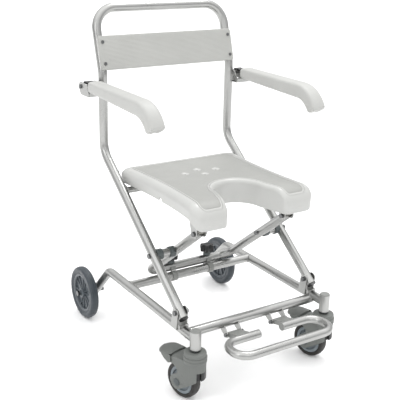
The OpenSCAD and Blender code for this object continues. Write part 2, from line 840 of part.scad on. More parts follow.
base_tube(-1);  // left_base_tube
base_tube(1);  // right_base_tube
front_posts();
coped_cross_tube(rear_cross, side_x - 3);  // rear_cross_tube
coped_cross_tube(front_cross, side_x - 3);  // front_cross_tube
clevises();
base_bolts();
footrest_lugs();
rear_axles();
clamp_clips();
caster_stems();
base_plugs();
leg(-1);  // left_leg
leg(1);  // right_leg
leg_plugs();
leg_bushes();
outer_hubs();
hub_spacers();
cross_bolts();
seat_rest_bar();
back_tube();
back_inserts();
back_panel();
panel_screws();
arm_brackets();
arm_bolts();
button(-1);  // left_button
button(1);  // right_button
seat_support_tube();
inner_hubs();
support_bushes();
seat();
seat_brackets();
seat_bolts();
seat_rest_pads();
arm_bar(-1);  // left_arm_bar
arm_bar(1);  // right_arm_bar
arm_pad(-1);  // left_arm_pad
arm_pad(1);  // right_arm_pad
arm_cap(-1);  // left_arm_cap
arm_cap(1);  // right_arm_cap
footrest_tube();
footrest_blocks();
footrest_caps();
rear_tyre(-1);  // left_rear_tyre
rear_tyre(1);  // right_rear_tyre
rear_rim(-1);  // left_rear_rim
rear_rim(1);  // right_rear_rim
fork(-1);  // left_fork
fork(1);  // right_fork
caster_pins(-1);  // left_caster_pins
caster_pins(1);  // right_caster_pins
caster_tyre(-1);  // left_caster_tyre
caster_tyre(1);  // right_caster_tyre
caster_rim(-1);  // left_caster_rim
caster_rim(1);  // right_caster_rim
pedal(-1);  // left_pedal
pedal(1);  // right_pedal
knob(-1);  // left_knob
knob(1);  // right_knob
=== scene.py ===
import bpy
import bmesh
import json
import math
import numpy as np
from mathutils import Matrix, Vector


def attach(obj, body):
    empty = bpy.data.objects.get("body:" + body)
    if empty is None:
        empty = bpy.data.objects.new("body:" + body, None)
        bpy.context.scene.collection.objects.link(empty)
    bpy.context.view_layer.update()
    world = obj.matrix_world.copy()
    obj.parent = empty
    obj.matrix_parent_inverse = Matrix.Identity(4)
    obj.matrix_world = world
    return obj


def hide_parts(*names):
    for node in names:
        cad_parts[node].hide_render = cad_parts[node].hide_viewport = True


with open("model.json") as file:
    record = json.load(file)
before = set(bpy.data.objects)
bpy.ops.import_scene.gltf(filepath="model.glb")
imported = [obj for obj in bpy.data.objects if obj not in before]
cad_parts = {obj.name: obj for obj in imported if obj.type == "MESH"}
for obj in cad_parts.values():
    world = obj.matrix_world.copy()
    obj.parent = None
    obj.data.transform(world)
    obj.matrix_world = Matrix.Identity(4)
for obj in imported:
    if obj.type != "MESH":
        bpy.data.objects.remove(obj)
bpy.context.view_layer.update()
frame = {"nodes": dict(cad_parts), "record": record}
nodes = frame["nodes"]

# Measures in millimetres, as the CAD has them
MM = 0.001
SIDE_X = 211.0              # middle of a side tube
TUBE_R = 12.7
BASE_Z = 178.0              # middle of a base side tube
POST_Y = -265.0             # a front post, and so a caster's swivel
POST_R = 14.3
CROSS_TUBES = ((92, 179), (-211, 168))
REAR_WHEEL = (250.0, 310.0, 80.0)
CASTER_TURN = 14            # degrees
CASTER_AXLE = (38, 50)      # behind the swivel, and above the floor
PEDAL_PIN = (74, 104)
SEAT_TOP = 508.0
SEAT_BASE = 467.0
SEAT_ROLL = 48.0            # radius of the rounded front edge
SEAT_FRONT = -222.0
OPENING_Y = -134.0
OPENING_R = 68.0
ARM_X = 251.5
ARM_TOP = 752.0
BAR_TOP = 739.0             # top of the bar inside an arm pad
PAD_REAR = 208.0
PANEL_LOW = 770.0
PANEL_HEIGHT = 91.0
BACK_BEND = (238.0, 765.0)  # where the back starts to lean, as (y, z)
BACK_LEAN = (7, 24)         # so far back for so far up
KNOB = (63.0, 107.643, 201.947)
SIGN = {"left": -1, "right": 1}

# ---------- camera, light and floor ----------

scene = bpy.context.scene
scene.view_settings.view_transform = "Standard"
scene.view_settings.look = "None"

# fitted to points picked in the photograph
cam_data = bpy.data.cameras.new("camera")
cam = bpy.data.objects.new("camera", cam_data)
scene.collection.objects.link(cam)
cam_data.sensor_width = 36.0
cam_data.lens = 72.66
cam_data.clip_end = 60.0
forward = Vector((0.5150, 0.7930, -0.3256)).normalized()
level = Vector((math.cos(math.radians(33)), -math.sin(math.radians(33)), 0))
level = (level - forward * level.dot(forward)).normalized()
upright = level.cross(forward)
roll = math.radians(1.369)
right = level * math.cos(roll) + upright * math.sin(roll)
up = right.cross(forward)
turn = Matrix((right, up, -forward)).transposed()
cam.matrix_world = Matrix.Translation((-1.1874, -1.7734, 1.1655)) @ turn.to_4x4()
scene.camera = cam

world = bpy.data.worlds.new("studio")
scene.world = world
world.use_nodes = True
wn = world.node_tree
sky_from = wn.nodes.new("ShaderNodeTexCoord")
sky_axes = wn.nodes.new("ShaderNodeSeparateXYZ")
sky_tone = wn.nodes.new("ShaderNodeValToRGB")
sky_tone.color_ramp.elements[0].position = 0.0
sky_tone.color_ramp.elements[0].color = (0.20, 0.20, 0.205, 1)
sky_tone.color_ramp.elements[1].position = 0.95
sky_tone.color_ramp.elements[1].color = (1.0, 1.0, 1.0, 1)
wn.links.new(sky_from.outputs["Generated"], sky_axes.inputs[0])
wn.links.new(sky_axes.outputs["Z"], sky_tone.inputs["Fac"])
wn.links.new(sky_tone.outputs["Color"], wn.nodes["Background"].inputs["Color"])
wn.nodes["Background"].inputs["Strength"].default_value = 1.95


def area(name, spot, aim, size, power):
    data = bpy.data.lights.new(name, "AREA")
    data.energy = power
    data.shape = "RECTANGLE"
    data.size = size[0]
    data.size_y = size[1]
    lamp = bpy.data.objects.new(name, data)
    scene.collection.objects.link(lamp)
    lamp.location = spot
    lamp.rotation_euler = (Vector(aim) - Vector(spot)).to_track_quat("-Z", "Y").to_euler()


area("key", (1.1, 0.6, 3.2), (0, 0, 0.3), (0.9, 0.9), 26)
area("fill", (-2.9, -0.9, 1.9), (0, 0, 0.5), (0.9, 2.0), 13)
area("front", (-0.9, -3.2, 1.8), (0, 0, 0.5), (1.6, 1.0), 6)


# ---------- materials ----------

def node_tree(name):
    m = bpy.data.materials.new(name)
    m.use_nodes = True
    return m, m.node_tree, m.node_tree.nodes["Principled BSDF"]


def noise(t, coords, scale, detail=3.0, rough=0.55):
    n = t.nodes.new("ShaderNodeTexNoise")
    n.inputs["Scale"].default_value = scale
    n.inputs["Detail"].default_value = detail
    n.inputs["Roughness"].default_value = rough
    t.links.new(coords, n.inputs["Vector"])
    return n.outputs["Fac"]


def ramp(t, fac, low, high, c0, c1):
    r = t.nodes.new("ShaderNodeValToRGB")
    r.color_ramp.elements[0].position = low
    r.color_ramp.elements[1].position = high
    r.color_ramp.elements[0].color = (*c0, 1)
    r.color_ramp.elements[1].color = (*c1, 1)
    t.links.new(fac, r.inputs["Fac"])
    return r.outputs["Color"]


def remap(t, value, a, b, c, d):
    r = t.nodes.new("ShaderNodeMapRange")
    r.inputs["From Min"].default_value = a
    r.inputs["From Max"].default_value = b
    r.inputs["To Min"].default_value = c
    r.inputs["To Max"].default_value = d
    t.links.new(value, r.inputs["Value"])
    return r.outputs["Result"]


def math_node(t, op, a, b):
    n = t.nodes.new("ShaderNodeMath")
    n.operation = op
    for i, v in enumerate((a, b)):
        if isinstance(v, (int, float)):
            n.inputs[i].default_value = v
        else:
            t.links.new(v, n.inputs[i])
    return n.outputs[0]


def bump(t, bsdf, height, strength, distance):
    b = t.nodes.new("ShaderNodeBump")
    b.inputs["Strength"].default_value = strength
    b.inputs["Distance"].default_value = distance
    t.links.new(height, b.inputs["Height"])
    t.links.new(b.outputs["Normal"], bsdf.inputs["Normal"])


def plastic(name, color, rough=0.42, vary=0.04, grain=900, grain_depth=0.25, cell=0,
            spread=0.06, coat=0.0):
    """Moulded plastic: faint clouding, a fine eroded grain, and rougher and smoother patches."""
    m, t, b = node_tree(name)
    xyz = t.nodes.new("ShaderNodeTexCoord").outputs["Object"]
    cloud = noise(t, xyz, 9, 5, 0.6)
    dark = [c * (1 - vary) for c in color]
    light = [min(1, c * (1 + vary)) for c in color]
    t.links.new(ramp(t, cloud, 0.35, 0.65, dark, light), b.inputs["Base Color"])
    patches = remap(t, noise(t, xyz, 35, 4), 0.3, 0.7, rough - spread, rough + spread)
    t.links.new(patches, b.inputs["Roughness"])
    if cell:
        v = t.nodes.new("ShaderNodeTexVoronoi")
        v.inputs["Scale"].default_value = cell
        t.links.new(xyz, v.inputs["Vector"])
        fine = math_node(t, "MULTIPLY", noise(t, xyz, grain, 2), 0.4)
        h = math_node(t, "ADD", v.outputs["Distance"], fine)
    else:
        h = noise(t, xyz, grain, 2)
    bump(t, b, h, grain_depth, 0.0004)
    b.inputs["Coat Weight"].default_value = coat
    b.inputs["Coat Roughness"].default_value = 0.25
    return m


def metal(name, color, rough=0.3, vary=0.05, spread=0.06, fine=500, depth=0.12):
    """Satin metal: a fine grain, handling smudges and slight changes of tone."""
    m, t, b = node_tree(name)
    xyz = t.nodes.new("ShaderNodeTexCoord").outputs["Object"]
    smudge = noise(t, xyz, 14, 5, 0.65)
    dark = [c * (1 - vary) for c in color]
    light = [min(1, c * (1 + vary)) for c in color]
    t.links.new(ramp(t, smudge, 0.35, 0.65, dark, light), b.inputs["Base Color"])
    grain = noise(t, xyz, fine, 3)
    mixed = math_node(t, "ADD", math_node(t, "MULTIPLY", grain, 0.45), math_node(t, "MULTIPLY", smudge, 0.55))
    t.links.new(remap(t, mixed, 0.35, 0.65, rough - spread, rough + spread), b.inputs["Roughness"])
    b.inputs["Metallic"].default_value = 1.0
    bump(t, b, grain, depth, 0.0002)
    return m


def rubber(name, color, rough=0.62):
    """Rubber: a little dust on its dull, finely pitted skin."""
    m, t, b = node_tree(name)
    xyz = t.nodes.new("ShaderNodeTexCoord").outputs["Object"]
    dust = noise(t, xyz, 22, 6, 0.7)
    light = [min(1, c * 1.35 + 0.012) for c in color]
    t.links.new(ramp(t, dust, 0.42, 0.75, color, light), b.inputs["Base Color"])
    t.links.new(remap(t, noise(t, xyz, 60, 3), 0.3, 0.7, rough - 0.1, rough + 0.1), b.inputs["Roughness"])
    bump(t, b, noise(t, xyz, 1400, 2), 0.3, 0.0003)
    return m


# one look for each material slot, and a second for the seat's inset and for the hubs
M = {
    "aluminium_tube": metal("satin_aluminium", (0.385, 0.387, 0.378), 0.31, 0.05, 0.06, 420, 0.10),
    "steel_bolt": metal("zinc_steel", (0.16, 0.163, 0.165), 0.27, 0.08, 0.08, 900, 0.2),
    "seat_plastic": plastic("seat_shell", (0.455, 0.458, 0.443), 0.33, 0.02, 1100, 0.10, 0, 0.05, 0.10),
    "seat_inset": plastic("seat_grain", (0.315, 0.317, 0.302), 0.50, 0.03, 1300, 0.55, 620, 0.05),
    "arm_plastic": plastic("arm_foam", (0.415, 0.417, 0.402), 0.50, 0.025, 800, 0.30, 0, 0.06),
    "panel_plastic": plastic("panel_sheet", (0.41, 0.413, 0.395), 0.48, 0.03, 700, 0.18),
    "grey_plastic": plastic("grey_moulding", (0.13, 0.138, 0.13), 0.46, 0.06, 700, 0.35),
    "light_plastic": plastic("light_moulding", (0.22, 0.225, 0.215), 0.45, 0.05, 700, 0.3),
    "black_plastic": plastic("black_moulding", (0.006, 0.006, 0.0065), 0.36, 0.25, 800, 0.3),
    "nylon": plastic("natural_nylon", (0.70, 0.69, 0.64), 0.40, 0.03, 800, 0.15),
    "rear_tyre_rubber": rubber("slate_rubber", (0.024, 0.032, 0.040), 0.42),
    "rear_rim_plastic": plastic("rim_moulding", (0.075, 0.087, 0.098), 0.34, 0.06, 700, 0.25),
    "caster_tyre_rubber": rubber("black_rubber", (0.012, 0.0105, 0.009), 0.55),
    "caster_rim_plastic": plastic("caster_rim", (0.185, 0.215, 0.235), 0.42, 0.05, 700, 0.25),
    "rest_rubber": rubber("rest_rubber", (0.05, 0.05, 0.05), 0.7),
    "hub_plastic": plastic("hub_moulding", (0.070, 0.082, 0.083), 0.44, 0.06, 700, 0.3),
}
weld_metal = metal("weld_bead", (0.34, 0.34, 0.335), 0.42, 0.14, 0.1, 600, 0.5)


# ---------- mesh helpers (millimetres in, metres out) ----------

def piece(name, verts, faces, material, body, sharp=38, replaces=()):
    """A mesh that rides on a body and fills a material slot; it may replace CAD nodes."""
    me = bpy.data.meshes.new(name)
    me.from_pydata([tuple(c * MM for c in v) for v in verts], [], faces)
    me.validate()
    bm = bmesh.new()
    bm.from_mesh(me)
    bmesh.ops.recalc_face_normals(bm, faces=bm.faces[:])
    bm.to_mesh(me)
    bm.free()
    me.materials.append(material)
    me.polygons.foreach_set("use_smooth", [True] * len(me.polygons))
    me.set_sharp_from_angle(angle=math.radians(sharp))
    ob = bpy.data.objects.new(name, me)
    scene.collection.objects.link(ob)
    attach(ob, body)
    if replaces:
        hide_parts(*replaces)
    return ob


def loft(rings, cap=True, closed_path=False):
    """Joins rings of equally many points into a skin."""
    n = len(rings[0])
    verts = [p for ring in rings for p in ring]
    faces = []
    rows = len(rings) if closed_path else len(rings) - 1
    for i in range(rows):
        a, b = i * n, ((i + 1) % len(rings)) * n
        for j in range(n):
            k = (j + 1) % n
            faces.append((a + j, a + k, b + k, b + j))
    if cap and not closed_path:
        faces.append(tuple(range(n - 1, -1, -1)))
        faces.append(tuple((len(rings) - 1) * n + j for j in range(n)))
    return verts, faces


def merge(*parts):
    verts, faces = [], []
    for v, f in parts:
        base = len(verts)
        verts += list(v)
        faces += [tuple(base + i for i in face) for face in f]
    return verts, faces


def lathe(profile, segments=96, radius=None):
    """Turns (radius, height) points about Z; radius(angle, r) may vary it."""
    rings = []
    for i in range(segments):
        a = 2 * math.pi * i / segments
        ring = []
        for r, h in profile:
            q = radius(a, r) if radius else r
            ring.append((q * math.cos(a), q * math.sin(a), h))
        rings.append(ring)
    return loft(rings, cap=False, closed_path=True)


def place(part, matrix):
    v, f = part
    return [tuple(matrix @ Vector(p)) for p in v], f


def rounded(points, radius, steps=6):
    """A closed polygon with its corners rounded; radius is one number or one for each corner."""
    out = []
    n = len(points)
    for i in range(n):
        r = radius[i] if isinstance(radius, (list, tuple)) else radius
        p0, p1, p2 = (Vector(points[(i + k - 1) % n]) for k in range(3))
        if r <= 0:
            out.append(tuple(p1))
            continue
        d0, d1 = (p0 - p1).normalized(), (p2 - p1).normalized()
        half = d0.angle(d1) / 2
        reach = min(r / math.tan(half), (p0 - p1).length * 0.49, (p2 - p1).length * 0.49)
        r = reach * math.tan(half)
        centre = p1 + (d0 + d1).normalized() * (r / math.sin(half))
        a = p1 + d0 * reach
        b = p1 + d1 * reach
        va, vb = a - centre, b - centre
        total = va.angle(vb)
        for k in range(steps + 1):
            f = k / steps
            w = (va * math.sin((1 - f) * total) + vb * math.sin(f * total)) / max(1e-9, math.sin(total))
            out.append(tuple(centre + w.normalized() * r))
    return out


def prism(loops, depth, bevel=0.0, steps=3):
    """A flat plate with holes: loops[0] is its outline and the rest are holes, in (x, y); z from 0 to depth."""
    bm = bmesh.new()
    rims = []
    for z in (0.0, depth):
        rims.append([[bm.verts.new((x, y, z)) for x, y in loop] for loop in loops])
    for low, high in zip(*rims):
        n = len(low)
        for i in range(n):
            k = (i + 1) % n
            bm.faces.new((low[i], low[k], high[k], high[i]))
    for level_rims in rims:
        edges = []
        for loop in level_rims:
            n = len(loop)
            for i in range(n):
                edges.append(bm.edges.get((loop[i], loop[(i + 1) % n])))
        bmesh.ops.triangle_fill(bm, edges=edges, use_beauty=True, use_dissolve=True)
    bmesh.ops.recalc_face_normals(bm, faces=bm.faces[:])
    if bevel:
        sharp = [e for e in bm.edges if len(e.link_faces) == 2 and e.calc_face_angle(0) > math.radians(50)]
        bmesh.ops.bevel(bm, geom=sharp, offset=bevel, segments=steps, affect="EDGES", profile=0.5,
                        clamp_overlap=True)
    verts = [tuple(v.co) for v in bm.verts]
    bm.verts.index_update()
    faces = [tuple(v.index for v in f.verts) for f in bm.faces]
    bm.free()
    return verts, faces


def circle(x, y, r, n=32):
    return [(x + r * math.cos(2 * math.pi * i / n), y + r * math.sin(2 * math.pi * i / n)) for i in range(n)]


def super_ring(half_w, half_h, power=3.2, n=36):
    """A rounded rectangle section as (u, v) points."""
    ring = []
    for i in range(n):
        a = 2 * math.pi * i / n
        c, s = math.cos(a), math.sin(a)
        ring.append((half_w * math.copysign(abs(c) ** (2 / power), c),
                     half_h * math.copysign(abs(s) ** (2 / power), s)))
    return ring


def set_down(bm, name, materials, sharp):
    """Turns a bmesh in millimetres into a smooth-shaded object."""
    me = bpy.data.meshes.new(name)
    bmesh.ops.scale(bm, vec=(MM, MM, MM), verts=bm.verts[:])
    bm.to_mesh(me)
    bm.free()
    for m in materials:
        me.materials.append(m)
    me.polygons.foreach_set("use_smooth", [True] * len(me.polygons))
    me.set_sharp_from_angle(angle=math.radians(sharp))
    ob = bpy.data.objects.new(name, me)
    scene.collection.objects.link(ob)
    return ob


# ---------- carried-over CAD nodes ----------

slots = {s["node"]: s["material_slot"] for s in frame["record"]["subparts"]}
for name, ob in nodes.items():
    m = M[slots[name]]
    if name in ("outer_hubs", "inner_hubs"):
        m = M["hub_plastic"]
    ob.data.materials.clear()
    ob.data.materials.append(m)


# ---------- seat ----------

def seat_loop(side, waist, front_w, rear, front, r_rear, r_outer, r_inner, gap, opening):
    """Anticlockwise from the middle of the rear edge, with the same number of points on each stretch."""
    left = []
    y_rear, y_front = rear - r_rear, front + r_outer

    def side_x(y):
        # a parabola through the rear, the waist and the front
        xs = (y_rear, -20.0, y_front)
        vs = (side, waist, front_w)
        out = 0.0
        for i in range(3):
            term = vs[i]
            for k in range(3):
                if k != i:
                    term *= (y - xs[k]) / (xs[i] - xs[k])
            out += term
        return out

    for i in range(60):
        left.append((-(side - r_rear) * i / 60, rear))
    for i in range(24):
        a = math.radians(90 + 90 * i / 24)
        left.append((-(side - r_rear) + r_rear * math.cos(a), y_rear + r_rear * math.sin(a)))
    for i in range(190):
        y = y_rear + (y_front - y_rear) * i / 190
        left.append((-side_x(y), y))
    for i in range(24):
        a = math.radians(180 + 90 * i / 24)
        left.append((-(front_w - r_outer) + r_outer * math.cos(a), y_front + r_outer * math.sin(a)))
    for i in range(30):
        x0, x1 = -(front_w - r_outer), -(gap + r_inner)
        left.append((x0 + (x1 - x0) * i / 30, front))
    for i in range(20):
        a = math.radians(270 + 90 * i / 20)
        left.append((-(gap + r_inner) + r_inner * math.cos(a), front + r_inner + r_inner * math.sin(a)))
    for i in range(44):
        f = i / 44
        left.append((-(gap + (opening - gap) * f), front + r_inner + (OPENING_Y - front - r_inner) * f))
    for i in range(57):
        a = math.pi - math.pi / 2 * i / 56
        left.append((opening * math.cos(a), OPENING_Y + opening * math.sin(a)))
    other = [(-x, y) for x, y in reversed(left[1:-1])]
    pts = np.array(left + other)
    for _ in range(14):
        pts = pts * 0.5 + (np.roll(pts, 1, 0) + np.roll(pts, -1, 0)) * 0.25
    return pts


def seat_level(x, y):
    """Height of the seat's top: slightly dished, and rolled down in front."""
    top = SEAT_TOP
    roll_y = SEAT_FRONT + SEAT_ROLL
    if y < roll_y:
        top = SEAT_TOP - SEAT_ROLL + math.sqrt(max(0.0, SEAT_ROLL ** 2 - (roll_y - y) ** 2))
    dish = max(0.0, 1 - (x / 156.0) ** 2) * max(0.0, 1 - ((y - 48.0) / 108.0) ** 2)
    return top - 7.0 * dish ** 1.2


# (radius, height from the seat's top) of a drain dimple
DIMPLE = ((10.8, -1.35), (10.2, -1.5), (9.3, -2.2), (8.0, -2.8),
          (6.0, -3.2), (3.4, -3.4), (3.0, -3.9), (2.8, -7.0))


def seat_piece():
    top = SEAT_TOP
    outer = seat_loop(194, 181.5, 191, 187, SEAT_FRONT, 28, 30, 17, 88, OPENING_R)
    inset = seat_loop(167, 157.5, 166, 158, -212.5, 14, 17, 12, 99, 79)
    n = len(outer)
    step = np.roll(outer, -1, 0) - np.roll(outer, 1, 0)
    inward = np.stack([-step[:, 1], step[:, 0]], 1)
    inward /= np.linalg.norm(inward, axis=1)[:, None]
    x, y = outer[:, 0], outer[:, 1]
    # how much of a lip each point of the rim has: the front and the opening hang lower
    half_gap = OPENING_R + 20 * np.clip((OPENING_Y - y) / 71, 0, 1.3)
    open_edge = np.hypot(x, y - OPENING_Y) < OPENING_R + 6
    open_edge = open_edge | ((np.abs(x) < half_gap + 7) & (y < OPENING_Y))
    lip = np.where(open_edge, 1.0, 0.0)
    lip = np.maximum(lip, np.clip((-y - 198) / 20, 0, 1))
    for _ in range(60):
        lip = lip * 0.5 + (np.roll(lip, 1) + np.roll(lip, -1)) * 0.25
    bottom = SEAT_BASE - 26.5 * lip
    # a half-round notch in the lower edge of each side
    notch = (np.abs(y + 30) < 8) & (np.abs(x) > 150)
    bottom = np.where(notch, bottom + 8.5 * np.sqrt(np.clip(1 - ((y + 30) / 8) ** 2, 0, 1)), bottom)
    # how far the top edge rolls over
    drop = np.where(open_edge, 13.0, 20.0)
    for _ in range(60):
        drop = drop * 0.5 + (np.roll(drop, 1) + np.roll(drop, -1)) * 0.25

    rings = []

    def ring(points, z):
        rings.append([(points[i, 0], points[i, 1], z[i]) for i in range(n)])

    ones = np.ones(n)
    # underside: plate, inner wall, rounded rim, outer wall, rolled edge, top, groove, bead and inset
    ring(outer + inward * 8.6, ones * (top - 9.5))
    ring(outer + inward * 7.0, ones * (top - 14))
    ring(outer + inward * 5.6, bottom + 4)
    ring(outer + inward * 5.0, bottom + 1.2)
    ring(outer + inward * 4.0, bottom + 0.3)
    ring(outer + inward * 2.8, bottom)
    ring(outer + inward * 1.5, bottom + 0.5)
    ring(outer + inward * 0.8, bottom + 1.8)
    for f in (0.12, 0.35, 0.6, 0.8):
        ring(outer + inward * (0.8 * (1 - f)), bottom + 1.8 + (top - drop - bottom - 1.8) * f)
    for k in range(0, 17):
        a = math.pi / 2 * k / 16
        s = 1 - math.cos(a)
        z = top - 0.7 - drop + drop * math.sin(a)
        s = s * 0.95
        ring(outer * (1 - s) + inset * s, z)
    # the inset stands up a little, with a bead round it
    step_in = np.roll(inset, -1, 0) - np.roll(inset, 1, 0)
    inn = np.stack([-step_in[:, 1], step_in[:, 0]], 1)
    inn /= np.linalg.norm(inn, axis=1)[:, None]
    for d, h in ((-1.6, -0.9), (-0.9, -2.3), (0.4, -2.4), (1.1, -0.9), (1.7, 0.1), (2.9, 0.4), (4.1, 0.1),
                 (4.8, -1.0), (5.3, -1.9), (6.3, -1.9), (7.0, -1.35)):
        ring(inset + inn * d, ones * (top + h))
    verts, faces = loft(rings, cap=False)
    bm = bmesh.new()
    bv = [bm.verts.new(v) for v in verts]
    for f in faces:
        bm.faces.new([bv[i] for i in f])
    last = len(rings) - 1
    inset_start = n * (last - 2)
    for i, f in enumerate(bm.faces):
        f.material_index = 1 if i >= inset_start else 0

    def loop_edges(row):
        return [bm.edges.get((bv[row * n + i], bv[row * n + (i + 1) % n])) for i in range(n)]

    bmesh.ops.triangle_fill(bm, edges=loop_edges(0), use_beauty=True)
    # four shallow drain dimples in the inset
    dimple_edges = []
    for cx, cy in ((-51, 55), (51, 55), (0, 32), (0, 74)):
        rows = []
        for r, h in DIMPLE:
            rows.append([bm.verts.new((px, py, top + h)) for px, py in circle(cx, cy, r, 40)])
        for a, b in zip(rows, rows[1:]):
            for i in range(40):
                f = bm.faces.new((a[i], a[(i + 1) % 40], b[(i + 1) % 40], b[i]))
                f.material_index = 0
        bm.faces.new(rows[-1]).material_index = 0
        dimple_edges += [bm.edges.get((rows[0][i], rows[0][(i + 1) % 40])) for i in range(40)]
    filled = bmesh.ops.triangle_fill(bm, edges=loop_edges(last) + dimple_edges, use_beauty=True)
    for f in filled["geom"]:
        if isinstance(f, bmesh.types.BMFace):
            f.material_index = 1
    # finer faces where the top bends, and then the dish and the rolled front
    cuts = [((0, -60 + 12 * k, 0), (0, 1, 0)) for k in range(19)]
    cuts += [((0, y, 0), (0, 1, 0)) for y in (-174, -179, -184, -189, -194, -199, -203, -206, -209, -211)]
    cuts += [((-150 + 15 * k, 0, 0), (1, 0, 0)) for k in range(21)]
    for co, no in cuts:
        everything = bm.verts[:] + bm.edges[:] + bm.faces[:]
        bmesh.ops.bisect_plane(bm, geom=everything, dist=0.001, plane_co=co, plane_no=no)
    low = 440.0     # the rim's lower edge stays where it is
    for v in bm.verts:
        if v.co.z > low:
            v.co.z = low + (v.co.z - low) * (seat_level(v.co.x, v.co.y) - low) / (top - low)
    bmesh.ops.recalc_face_normals(bm, faces=bm.faces[:])
    ob = set_down(bm, "seat_shell", (M["seat_plastic"], M["seat_inset"]), 55)
    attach(ob, "seat_tray")
    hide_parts("seat")


seat_piece()


# ---------- arm pads ----------

def arm_pad(side):
    cx = SIGN[side] * ARM_X
    bend_y, bend_radius, bend_deg = -58, 80.0, 60
    rear_round, rear_half, front_half = 9, 15.5, 20.3
    half_w, groove = 23, 11.4

    def depth(y):
        return rear_half + (front_half - rear_half) * min(1.0, max(0.0, (PAD_REAR - y) / (PAD_REAR - bend_y)))

    # each is (y, z, heading in degrees below level, half height, half width, groove half width)
    stations = []
    for k in range(9):
        a = math.pi / 2 * k / 8
        grow = math.sin(a)
        stations.append((PAD_REAR - rear_round * (1 - math.cos(a)), ARM_TOP - rear_half, 0,
                         rear_half * (0.30 + 0.70 * grow), half_w * (0.62 + 0.38 * grow), groove))
    start = PAD_REAR - rear_round
    for i in range(1, 30):
        y = start - (start - bend_y) * i / 29
        stations.append((y, ARM_TOP - depth(y), 0, depth(y), half_w, groove))
    bend_z = ARM_TOP - front_half
    for i in range(1, 25):
        f = i / 24
        deg = bend_deg * i / 24
        a = math.radians(deg)
        stations.append((bend_y - bend_radius * math.sin(a), bend_z - bend_radius * (1 - math.cos(a)), deg,
                         front_half - 1.6 * f ** 1.3, half_w - 0.6 * f, groove - 6.2 * f))
    y_end, z_end = stations[-1][:2]
    a = math.radians(bend_deg)
    for k in range(1, 10):
        b = math.pi / 2 * k / 9
        reach = 8.0 * math.sin(b)
        shrink = math.cos(b)
        stations.append((y_end - math.cos(a) * reach, z_end - math.sin(a) * reach, bend_deg,
                         (front_half - 1.6) * (0.42 + 0.58 * shrink), 22.4 * (0.56 + 0.44 * shrink), 5.2))
    rings = []
    for y, z, deg, hh, hw, g in stations:
        a = math.radians(deg)
        up_y, up_z = -math.sin(a), math.cos(a)
        g = min(g, hw * 0.55)
        # the groove's roof clears the bar inside the pad
        roof = BAR_TOP - z if deg < 16 else -hh * 0.45
        section = [(g, roof), (g, -hh + 2.0), (g + 1.4, -hh + 0.3)]
        for k in range(47):
            t = -math.pi / 2 + 2 * math.pi * k / 46
            c, si = math.cos(t), math.sin(t)
            power = 4.2 if si > 0 else 4.4
            u = hw * math.copysign(abs(c) ** (2 / power), c)
            v = hh * math.copysign(abs(si) ** (2 / power), si)
            if abs(u) >= g + 3.0 or v >= 0:
                section.append((u, v))
        section += [(-g - 1.4, -hh + 0.3), (-g, -hh + 2.0), (-g, roof)]
        rings.append([(cx + u, y + up_y * v, z + up_z * v) for u, v in section])
    # the groove's three points at each end stay, and those between are spaced evenly
    even = []
    for ring in rings:
        pts = np.array(ring)
        skin = pts[3:-3]
        along = np.concatenate([[0], np.cumsum(np.linalg.norm(np.diff(skin, axis=0), axis=1))])
        t = np.linspace(0, along[-1], 44)
        between = np.stack([np.interp(t, along, skin[:, k]) for k in range(3)], 1)
        even.append([tuple(q) for q in np.concatenate([pts[:3], between, pts[-3:]])])
    v, f = loft(even)
    return piece(side + "_arm_cushion", v, f, M["arm_plastic"], side + "_armrest", sharp=48,
                 replaces=(side + "_arm_pad",))


for side in SIGN:
    arm_pad(side)


# ---------- back panel ----------

def back_panel():
    half, corner, ribs, steps = 219, 6, 27, 8
    tilt = math.atan2(*BACK_LEAN)
    rise = Vector((0, math.sin(tilt), math.cos(tilt)))
    out = Vector((0, -math.cos(tilt), math.sin(tilt)))
    bend_y, bend_z = BACK_BEND
    origin = Vector((0, bend_y + (PANEL_LOW - bend_z) * BACK_LEAN[0] / BACK_LEAN[1], PANEL_LOW))
    long = PANEL_HEIGHT / math.cos(tilt)
    xs = [-half + corner * (1 - math.cos(math.pi / 2 * i / 8)) for i in range(9)]
    for x0, x1, count in ((-212, -190, 8), (-186, 186, 25), (190, 212, 8)):
        xs += list(np.linspace(x0, x1, count))
    xs += [half - corner * (1 - math.cos(math.pi / 2 * i / 8)) for i in range(8, -1, -1)]
    rings = []
    for x in xs:
        over = max(0.0, abs(x) - (half - corner))
        cut = corner - math.sqrt(max(0.0, corner ** 2 - over * over))
        # the ends wrap a little round the side tubes
        wrap = -2.3 * max(0.0, (abs(x) - 203) / 16) ** 2
        low, high = cut, long - cut
        face = []
        for k in range(ribs * steps + 1):
            v = k / (ribs * steps)
            edge = min(v, 1 - v) * (high - low)
            round_off = 0.0 if edge > 2.0 else 2.0 - math.sqrt(max(0, 4 - (2 - edge) ** 2))
            wave = 0.75 * abs(math.sin(math.pi * ribs * v)) ** 0.6
            flat = min(1.0, edge / 4.0)
            face.append((low + (high - low) * v, 17.3 + wave * flat - round_off))
        # its back lies on the tubes
        back = [(high, 13.6), (high - 1.2, 12.75), (low + 1.2, 12.75), (low, 13.6)]
        rings.append([tuple(origin + rise * h + out * (d + wrap) + Vector((x, 0, 0))) for h, d in face + back])
    v, f = loft(rings)
    piece("ribbed_back_panel", v, f, M["panel_plastic"], "leg_frame", sharp=60,
          replaces=("back_panel",))


back_panel()


# ---------- rear wheels ----------

def x_axis_frame(x, y, z, spin=0.0):
    """Lays what was turned about Z along X, at a point."""
    lay = Matrix.Rotation(math.radians(90), 4, "Y")
    return Matrix.Translation((x, y, z)) @ lay @ Matrix.Rotation(spin, 4, "Z")


